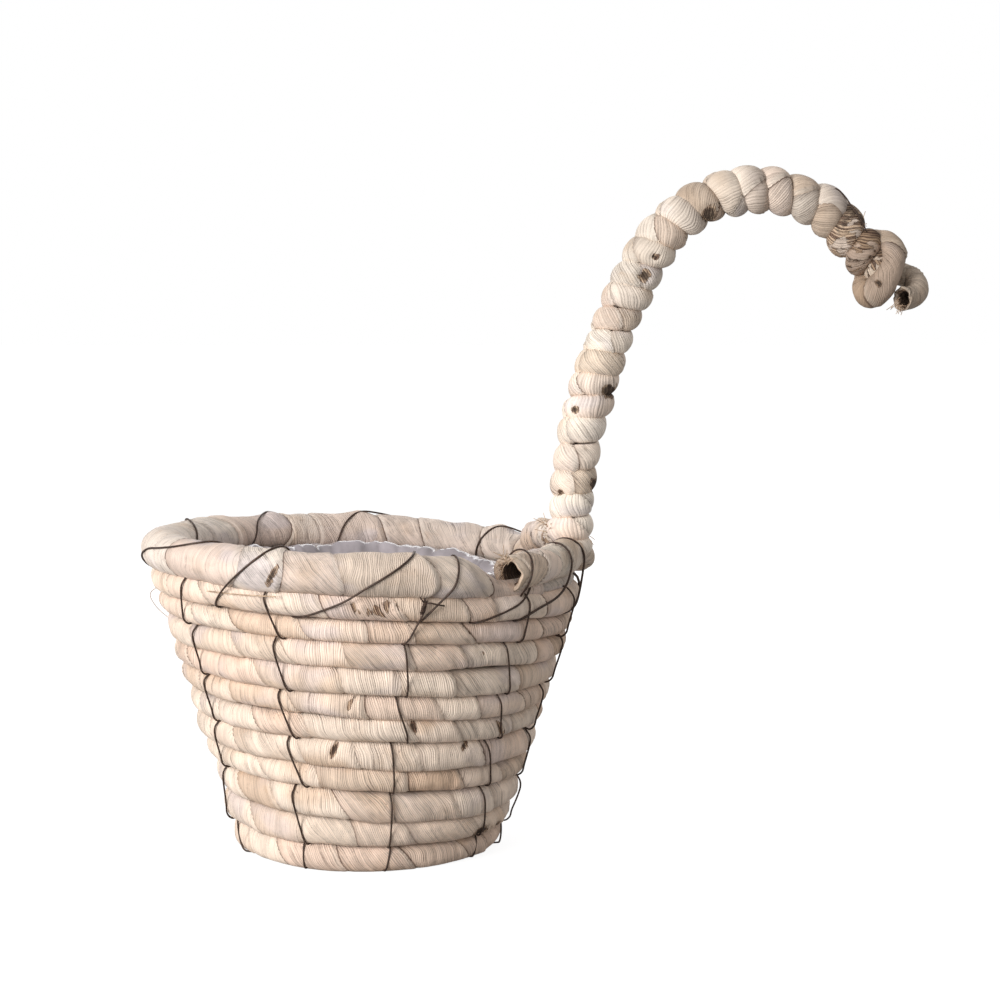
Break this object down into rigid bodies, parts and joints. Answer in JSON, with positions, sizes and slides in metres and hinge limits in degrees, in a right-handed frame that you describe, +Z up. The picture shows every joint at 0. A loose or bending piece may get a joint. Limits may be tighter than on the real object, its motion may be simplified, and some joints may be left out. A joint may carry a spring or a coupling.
{
  "type": "hanging basket planter",
  "caption": "Round tapered basket planter of stacked wrapped-rope hoops bound with wire, film liner inside, one tall hooked rope handle at its rim.",
  "frame": {"origin": "centre of the underside of the base button, on the basket's axis, where the basket stands", "axes": "+Z up along the basket's axis, +X towards the handle and its hook, -Y the front that the picture shows"},
  "size_m": [0.4126, 0.2416, 0.3683],
  "materials": {
    "husk_rope": "matt dried leaf wrap, fibrous",
    "rim_husk": "matt dried leaf wrap, fibrous",
    "handle_husk": "matt dried leaf rope, fibrous",
    "liner_film": "thin cloudy film, creased",
    "binding_wire": "dark brown annealed wire",
    "rod_steel": "dull drawn steel"
  },
  "bodies": {
    "root": {"base_coil": "husk_rope", "base_button": "husk_rope", "coil_row_01": "husk_rope", "coil_row_02": "husk_rope", "coil_row_03": "husk_rope", "coil_row_04": "husk_rope", "coil_row_05": "husk_rope", "coil_row_06": "husk_rope", "coil_row_07": "husk_rope", "coil_row_08": "husk_rope", "coil_row_09": "husk_rope", "coil_row_10": "husk_rope", "coil_row_11": "husk_rope", "rim_coil": "rim_husk", "liner": "liner_film", "handle_rod": "rod_steel", "handle_winding": "handle_husk", "hook_knot": "handle_husk", "handle_tail": "handle_husk", "rod_tie": "binding_wire", "tail_lashing": "binding_wire", "rim_lashing": "binding_wire", "wall_lashing_01": "binding_wire", "wall_lashing_02": "binding_wire", "wall_lashing_03": "binding_wire", "wall_lashing_04": "binding_wire", "wall_lashing_05": "binding_wire", "wall_lashing_06": "binding_wire", "wall_lashing_07": "binding_wire", "wall_lashing_08": "binding_wire", "wall_lashing_09": "binding_wire", "wall_lashing_10": "binding_wire"}
  },
  "joints": []
}
